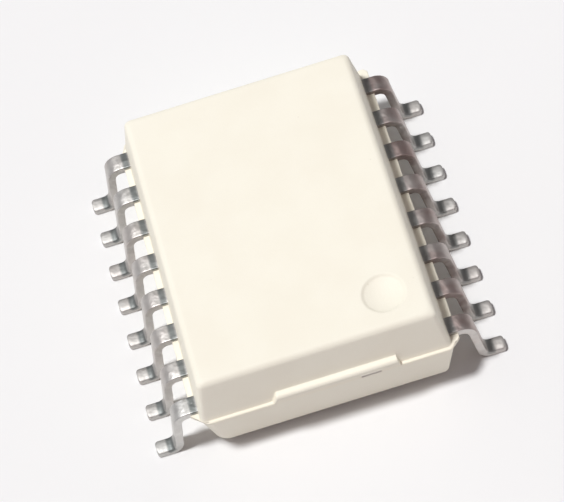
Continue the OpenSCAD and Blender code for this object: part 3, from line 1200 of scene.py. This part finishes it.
@dataclass
class LeadRow:
    """One row of leads with its half of the lead frame inside the moulding."""

    row: Row
    count: int = LEADS_PER_ROW
    pitch: float = 1.27
    lead: GullWingLead = field(default_factory=GullWingLead)
    isolation_gap: float = 0.9
    paddle_w: float = 1.8
    paddle_l: float = 4.6
    paddle_end_slot: int = 5
    pad_w: float = 1.1
    pad_l: float = 1.3
    finger_gap: float = 0.35
    chip_w: float = 1.4
    bond_inset: float = 0.15
    root_overlap: float = 0.02
    frame_round: float = 0.02
    finish: Finish = field(default_factory=TinFinish)

    def slot_y(self, slot: int) -> float:
        """Middle of a lead along the body, for slots from 1."""
        return (slot - (self.count + 1) / 2) * self.pitch

    def inner_slabs(self) -> list[Slab]:
        """Fingers, paddle and pad of the input half; the output half is the same, turned.

        Returns:
            The slabs.
        """
        half, root = self.lead.shoulder_w / 2, self.lead.root_x + self.root_overlap
        inner = self.isolation_gap / 2
        paddle_x, pad_x = inner + self.paddle_w, inner + self.pad_w
        paddle_y = self.slot_y(self.paddle_end_slot) + half - self.paddle_l
        pad_y = self.slot_y(self.paddle_end_slot + 1) + half + self.bond_inset
        chip_x = inner + (self.paddle_w - self.chip_w) / 2
        slabs = [Slab(inner, paddle_y, paddle_x, paddle_y + self.paddle_l),
                 Slab(inner, pad_y, pad_x, pad_y + self.pad_l),
                 Slab(pad_x - 2 * half, pad_y, pad_x, self.slot_y(self.count) + half)]
        for slot in range(1, self.count + 1):
            y = self.slot_y(slot)
            if slot == self.row.paddle_slot:
                end = inner
            elif slot == self.count:
                end = pad_x - 2 * half
            elif slot == 1:
                end = chip_x + self.bond_inset
            else:
                end = (paddle_x if slot <= self.paddle_end_slot else pad_x) + self.finger_gap
            slabs.append(Slab(end, y - half, root, y + half))
        return slabs

    def inner_frame(self, bm: bmesh.types.BMesh) -> None:
        """Adds the flat lead frame inside the moulding.

        Args:
            bm: Mesh that it is added to.
        """
        low, high = self.lead.level - self.lead.lead_t / 2, self.lead.level + self.lead.lead_t / 2
        for s in self.inner_slabs():
            made = bmesh.ops.create_cube(bm, size=1.0)["verts"]
            for vert in made:
                vert.co = Vector((mix(s.x0, s.x1, vert.co.x + 0.5), mix(s.y0, s.y1, vert.co.y + 0.5),
                                  mix(low, high, vert.co.z + 0.5))) * MM
            edges = list({e for v in made for e in v.link_edges})
            bmesh.ops.bevel(bm, geom=edges, offset=self.frame_round * MM, segments=2, profile=0.6,
                            affect="EDGES")

    @staticmethod
    def row_tree() -> bpy.types.NodeTree:
        """Geometry nodes that set copies of a lead along the body, each with a tint of its own.

        Returns:
            The node tree, built the first time.
        """
        found = bpy.data.node_groups.get("lead_row")
        if found:
            return found
        takes = {"Lead": "Geometry", "Count": "Int", "Pitch": "Float", "Start": "Float", "Seed": "Int",
                 "Finish": "Material"}
        kit = GroupKit("lead_row", "GeometryNodeTree", takes, {"Row": "Geometry"})
        start, step = (kit.add("ShaderNodeCombineXYZ", {"Y": kit.given[name]}).outputs[0]
                       for name in ("Start", "Pitch"))
        values = {"Count": kit.given["Count"], "Start Location": start, "Offset": step}
        line = kit.add("GeometryNodeMeshLine", values, mode="OFFSET")
        values = {"Points": line.outputs["Mesh"], "Instance": kit.given["Lead"]}
        copies = kit.add("GeometryNodeInstanceOnPoints", values)
        tint = kit.add("FunctionNodeRandomValue", {"Seed": kit.given["Seed"]}, data_type="FLOAT")
        values = {"Geometry": copies.outputs["Instances"], "Name": "lead_tint", "Value": tint.outputs[1]}
        store = kit.add("GeometryNodeStoreNamedAttribute", values, data_type="FLOAT", domain="INSTANCE")
        real = kit.add("GeometryNodeRealizeInstances", {"Geometry": store.outputs["Geometry"]})
        values = {"Geometry": real.outputs["Geometry"], "Material": kit.given["Finish"]}
        paint = kit.add("GeometryNodeSetMaterial", values)
        kit.feed(kit.out["Row"], paint.outputs["Geometry"])
        return kit.tree

    def repeated(self, single: bpy.types.Mesh) -> bpy.types.Mesh:
        """Runs the geometry nodes on one lead.

        Args:
            single: Mesh of a lead at the middle of the row.

        Returns:
            Plain mesh of the row.
        """
        carrier = bpy.data.objects.new("lead_carrier", single)
        bpy.context.scene.collection.objects.link(carrier)
        tree = self.row_tree()
        modifier = carrier.modifiers.new("row", "NODES")
        modifier.node_group = tree
        values = {"Count": self.count, "Pitch": self.pitch * MM, "Start": self.slot_y(1) * MM,
                  "Seed": self.row.seed, "Finish": self.finish.material()}
        for socket in tree.interface.items_tree:
            if socket.in_out == "INPUT" and socket.name in values:
                modifier[socket.identifier] = values[socket.name]
        evaluated = carrier.evaluated_get(bpy.context.evaluated_depsgraph_get())
        mesh = bpy.data.meshes.new_from_object(evaluated)
        carrier.modifiers.remove(modifier)
        bpy.data.objects.remove(carrier)
        return mesh

    def build(self) -> bpy.types.Object:
        """Makes the row and seats it in the frame.

        Returns:
            The piece.
        """
        mesh = self.repeated(self.lead.mesh())
        bm = bmesh.new()
        bm.from_mesh(mesh)
        self.inner_frame(bm)
        turn = Matrix.Rotation(self.row.value, 3, "Z")
        bmesh.ops.rotate(bm, verts=bm.verts[:], cent=(0, 0, 0), matrix=turn)
        bm.to_mesh(mesh)
        bm.free()
        piece = piece_from(f"lead_row_{self.row.name.lower()}", mesh, self.finish)
        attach(piece, BODY_NAME)
        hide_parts(*self.row.nodes)
        return piece


@dataclass
class InnerPieces:
    """The dice, light guides and wires inside the moulding, whose solids are kept as they are."""

    finishes: dict[str, Finish] = field(default_factory=lambda: {
        "input_chip": SiliconFinish(), "output_chip": SiliconFinish(),
        "forward_emitter": EmitterFinish(), "feedback_emitter": EmitterFinish(),
        "forward_light_guide": SiliconeFinish(), "feedback_light_guide": SiliconeFinish(),
        "input_bond_wires": GoldFinish(), "output_bond_wires": GoldFinish(),
    })

    def dress(self, nodes: dict[str, bpy.types.Object]) -> list[bpy.types.Object]:
        """Gives each solid its finish.

        Args:
            nodes: Objects of the frame by node name.

        Returns:
            The dressed objects.
        """
        dressed = []
        for name, finish in self.finishes.items():
            piece = nodes[name]
            piece.data.materials.clear()
            piece.data.materials.append(finish.material())
            dressed.append(piece)
        return dressed


@dataclass(frozen=True)
class FloorFinish(Finish):
    """Plain white paper."""

    name: str = "white_paper_finish"
    colour: Colour = (0.84, 0.84, 0.84)
    roughness: float = 0.9

    def paint(self, kit: SurfaceKit) -> None:
        """Matte white.

        Args:
            kit: The material's nodes.
        """
        kit.set("Base Color", self.colour)
        kit.set("Roughness", self.roughness)
        kit.set("Specular IOR Level", 0.0)


class SoftBox(NamedTuple):
    """A soft bright patch in the surroundings, full inside one angle in degrees and gone outside another."""

    toward: Point
    colour: Colour
    full: float
    gone: float


@dataclass
class Studio:
    """Floor, soft light, dim surroundings and the camera, whose eye is in millimetres."""

    key_from: Point = (-0.295, -0.015, 0.955)
    key_level: float = 0.88
    key_spread: float = math.radians(9.0)
    key_away: float = 0.1
    sky: Colour = (0.165, 0.165, 0.17)
    boxes: tuple[SoftBox, ...] = (SoftBox((-0.36, 0.48, 0.80), (0.35, 0.35, 0.35), 9.0, 24.0),
                                  SoftBox((-0.10, -0.85, 0.50), (0.075, 0.0, 0.006), 20.0, 50.0),
                                  SoftBox((0.95, 0.00, 0.30), (0.19, 0.17, 0.165), 25.0, 60.0),
                                  SoftBox((-0.85, 0.50, 0.10), (0.24, 0.24, 0.25), 18.0, 42.0))
    floor_half: float = 1.5
    floor_drop: float = 0.000002
    focal_px: float = 2609.0
    image_w: int = 564
    sensor_w: float = 36.0
    clip: Span = (0.001, 20.0)
    eye: Point = (0.031, -41.975, 66.317)
    right: Point = (0.955361, -0.247115, -0.161923)
    down: Point = (-0.295435, -0.802314, -0.518662)
    forward: Point = (-0.001744, 0.543347, -0.839506)

    def floor(self) -> None:
        """White paper just under the part."""
        h = self.floor_half
        mesh = bpy.data.meshes.new("floor")
        mesh.from_pydata([(-h, -h, 0), (h, -h, 0), (h, h, 0), (-h, h, 0)], [], [(0, 1, 2, 3)])
        mesh.materials.append(FloorFinish().material())
        plane = bpy.data.objects.new("floor", mesh)
        plane.location.z = -self.floor_drop
        bpy.context.scene.collection.objects.link(plane)

    def surroundings(self) -> None:
        """Dim light from all round, with the soft boxes in it."""
        world = bpy.data.worlds.new("studio")
        world.use_nodes = True
        kit = NodeKit(world.node_tree)
        way = kit.coordinates("Generated")
        colour: object = self.sky
        for box in self.boxes:
            values = {0: way, 1: Vector(box.toward).normalized()}
            near = kit.add("ShaderNodeVectorMath", values, operation="DOT_PRODUCT").outputs["Value"]
            share = kit.ramp(near, *(math.cos(math.radians(angle)) for angle in (box.gone, box.full)))
            patch = kit.add("ShaderNodeVectorMath", {0: box.colour, "Scale": share}, operation="SCALE")
            values = {0: colour, 1: patch.outputs["Vector"]}
            colour = kit.add("ShaderNodeVectorMath", values, operation="ADD").outputs["Vector"]
        sky = kit.add("ShaderNodeBackground", {"Color": colour})
        kit.add("ShaderNodeOutputWorld", {"Surface": sky.outputs["Background"]})
        bpy.context.scene.world = world

    def key_light(self) -> None:
        """Soft light from high on the left."""
        toward = Vector(self.key_from).normalized()
        lamp = bpy.data.lights.new("soft_key", "SUN")
        lamp.energy = math.pi * self.key_level
        lamp.angle = self.key_spread
        light = bpy.data.objects.new("soft_key", lamp)
        light.location = toward * self.key_away
        light.rotation_mode = "QUATERNION"
        light.rotation_quaternion = (-toward).to_track_quat("-Z", "Y")
        bpy.context.scene.collection.objects.link(light)

    def camera(self) -> None:
        """Camera at the photograph's viewing angle."""
        lens = bpy.data.cameras.new("camera")
        lens.sensor_width = self.sensor_w
        lens.lens = self.focal_px * self.sensor_w / self.image_w
        lens.clip_start, lens.clip_end = self.clip
        camera = bpy.data.objects.new("camera", lens)
        axes = Matrix((self.right, [-v for v in self.down], [-v for v in self.forward])).transposed()
        camera.matrix_world = Matrix.Translation(Vector(self.eye) * MM) @ axes.to_4x4()
        bpy.context.scene.collection.objects.link(camera)
        bpy.context.scene.camera = camera

    def build(self) -> None:
        """Sets up the whole studio."""
        bpy.context.scene.view_settings.view_transform = "Standard"
        self.camera()
        self.floor()
        self.surroundings()
        self.key_light()


def main() -> None:
    """Builds the studio and the pieces in order, and reports each."""
    logging.basicConfig(level=logging.INFO, format="%(name)s: %(message)s")
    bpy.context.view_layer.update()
    Studio().build()
    pieces = [MouldedBody().build()]
    pieces += [LeadRow(row).build() for row in Row]
    pieces += InnerPieces().dress(frame["nodes"])
    for piece in pieces:
        LOG.info("%s has %d faces", piece.name, len(piece.data.polygons))


if __name__ == "__main__":
    main()
